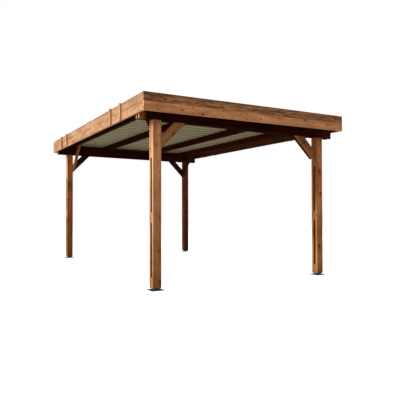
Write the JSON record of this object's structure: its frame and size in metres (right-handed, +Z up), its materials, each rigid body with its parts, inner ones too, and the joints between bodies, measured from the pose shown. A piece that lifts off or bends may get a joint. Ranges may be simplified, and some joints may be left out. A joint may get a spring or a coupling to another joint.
{
  "type": "carport",
  "caption": "Open timber carport for a car: posts on steel base plates, twin-board beams, corner braces, rafters, a boarded fascia and a ribbed steel flat roof.",
  "frame": {"origin": "on the ground, under the middle of the roof", "axes": "+Z up, +Y from the front to the rear, +X from left to right seen from the front"},
  "size_m": [3.46, 5.17, 2.53],
  "materials": {
    "post_timber": "brown stained softwood",
    "frame_timber": "brown stained softwood",
    "fascia_timber": "brown stained softwood",
    "roof_steel": "matt grey coil coat",
    "foot_steel": "black powder coat"
  },
  "bodies": {
    "root": {"beam_front_inner": "frame_timber", "beam_front_outer": "frame_timber", "beam_rear_inner": "frame_timber", "beam_rear_outer": "frame_timber", "cover_strip_left_front_inner": "fascia_timber", "cover_strip_left_front_outer": "fascia_timber", "cover_strip_left_rear_inner": "fascia_timber", "cover_strip_left_rear_outer": "fascia_timber", "cover_strip_right_front_inner": "fascia_timber", "cover_strip_right_front_outer": "fascia_timber", "cover_strip_right_rear_inner": "fascia_timber", "cover_strip_right_rear_outer": "fascia_timber", "cross_brace_front_left": "frame_timber", "cross_brace_front_right": "frame_timber", "cross_brace_rear_left": "frame_timber", "cross_brace_rear_right": "frame_timber", "fascia_front_lower": "fascia_timber", "fascia_front_upper": "fascia_timber", "fascia_left_lower": "fascia_timber", "fascia_left_upper": "fascia_timber", "fascia_rear_lower": "fascia_timber", "fascia_rear_upper": "fascia_timber", "fascia_right_lower": "fascia_timber", "fascia_right_upper": "fascia_timber", "foot_front_left": "foot_steel", "foot_front_right": "foot_steel", "foot_rear_left": "foot_steel", "foot_rear_right": "foot_steel", "post_front_left": "post_timber", "post_front_right": "post_timber", "post_rear_left": "post_timber", "post_rear_right": "post_timber", "rafter_edge_left": "frame_timber", "rafter_edge_right": "frame_timber", "rafter_inner_left": "frame_timber", "rafter_inner_right": "frame_timber", "roof_sheet_1": "roof_steel", "roof_sheet_2": "roof_steel", "roof_sheet_3": "roof_steel", "roof_sheet_4": "roof_steel", "roof_sheet_5": "roof_steel", "side_brace_front_left": "frame_timber", "side_brace_front_right": "frame_timber", "side_brace_rear_left": "frame_timber", "side_brace_rear_right": "frame_timber"}
  },
  "joints": []
}
